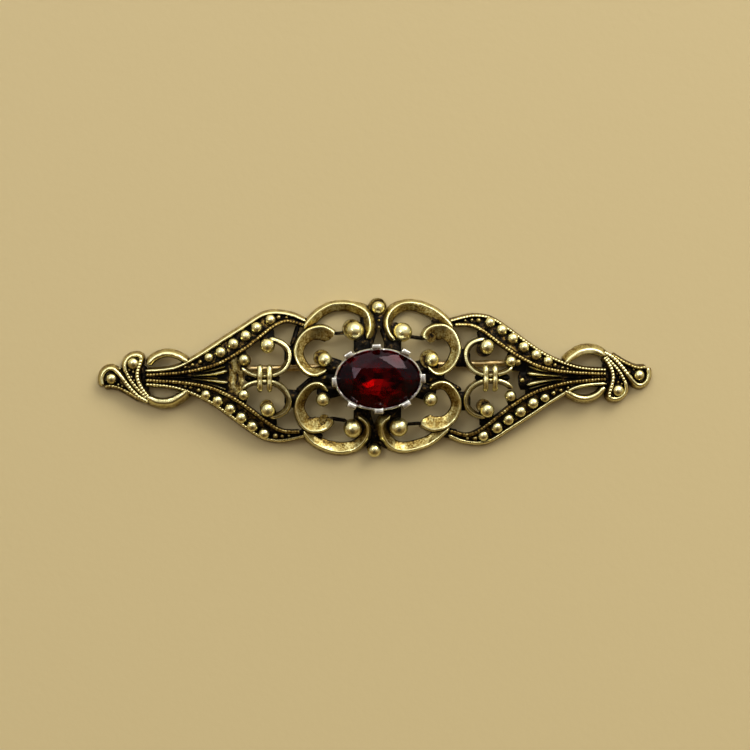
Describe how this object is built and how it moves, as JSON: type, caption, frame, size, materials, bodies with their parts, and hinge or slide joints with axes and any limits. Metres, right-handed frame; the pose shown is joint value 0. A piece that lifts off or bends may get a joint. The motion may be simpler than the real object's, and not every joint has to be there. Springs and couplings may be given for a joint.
{
  "type": "bar brooch",
  "caption": "Domed openwork bar brooch in antiqued gold tone, with beaded bands and scrolls, an oval faceted red stone in a claw setting, and a hinged pin stem with its catch.",
  "frame": {"origin": "middle of the casting, at the level of the surface that the brooch lies on face up", "axes": "+X along the bar towards the catch's end, +Y across the bar, +Z from the back to the front"},
  "size_m": [0.0642, 0.0185, 0.0053],
  "materials": {
    "gold_casting": "antiqued gold plate, dark in the recesses",
    "silver_setting": "bright silver-tone plate",
    "red_glass": "faceted deep red glass",
    "gold_wire": "plain gold plate"
  },
  "bodies": {
    "brooch": {"openwork_frame": "gold_casting", "stone_setting": "silver_setting", "stone": "red_glass", "hinge_rivet": "gold_wire"},
    "pin": {"pin_stem": "gold_wire"}
  },
  "joints": [
    {"name": "stem_hinge", "type": "hinge", "parent": "brooch", "child": "pin", "pos_m": [-0.0164, 0.00096, 0.0006], "axis": [-0.0236, 0.9997, 0], "range_deg": [0, 100]}
  ]
}
